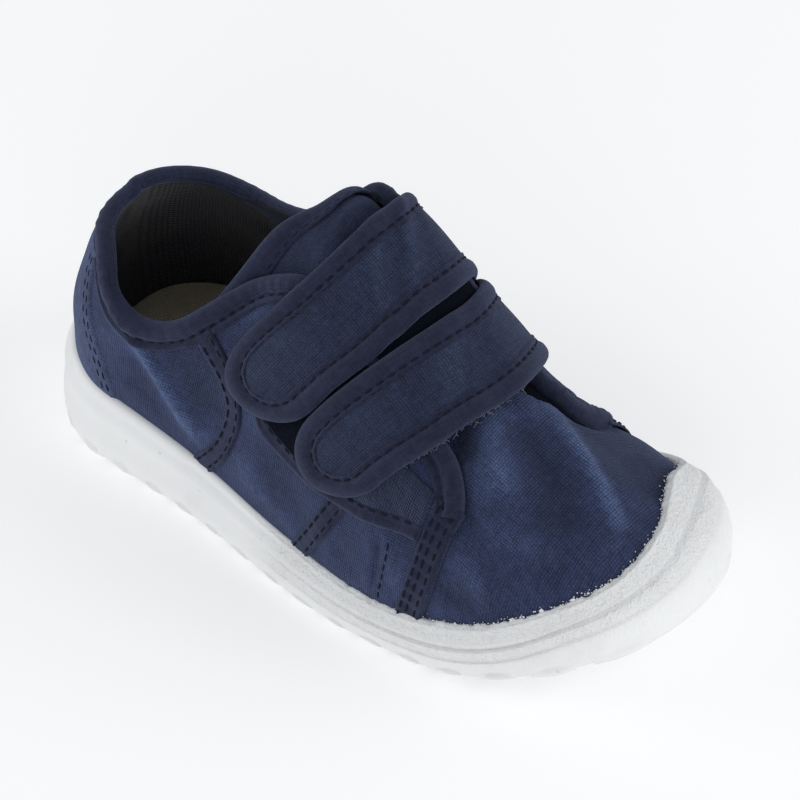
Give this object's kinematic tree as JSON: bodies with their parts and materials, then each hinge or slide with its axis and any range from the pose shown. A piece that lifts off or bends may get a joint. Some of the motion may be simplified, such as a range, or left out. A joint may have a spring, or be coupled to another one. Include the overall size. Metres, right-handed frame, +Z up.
{
  "type": "canvas sneaker",
  "caption": "Child's low canvas sneaker with two hook-and-loop straps across the instep, a bound collar, a tongue and a moulded rubber cup sole with a toe cap.",
  "frame": {"origin": "on the ground, under the middle of the shoe's bounding box", "axes": "+X to the toe, -Y to the outer (little toe) side, +Z up; the shoe stands on its sole"},
  "size_m": [0.165, 0.0738, 0.0706],
  "materials": {
    "sole_rubber": "matt white moulded rubber, lightly scuffed",
    "insole_cloth": "worn olive-tan cloth",
    "canvas": "coarse plain-weave navy canvas, washed and worn",
    "tongue_canvas": "coarse plain-weave navy canvas with a dark lining",
    "strap_canvas": "navy canvas with folded navy binding and matching stitching"
  },
  "bodies": {
    "root": {"sole": "sole_rubber", "insole": "insole_cloth", "upper": "canvas", "tongue": "tongue_canvas", "rear_strap": "strap_canvas", "front_strap": "strap_canvas"}
  },
  "joints": []
}
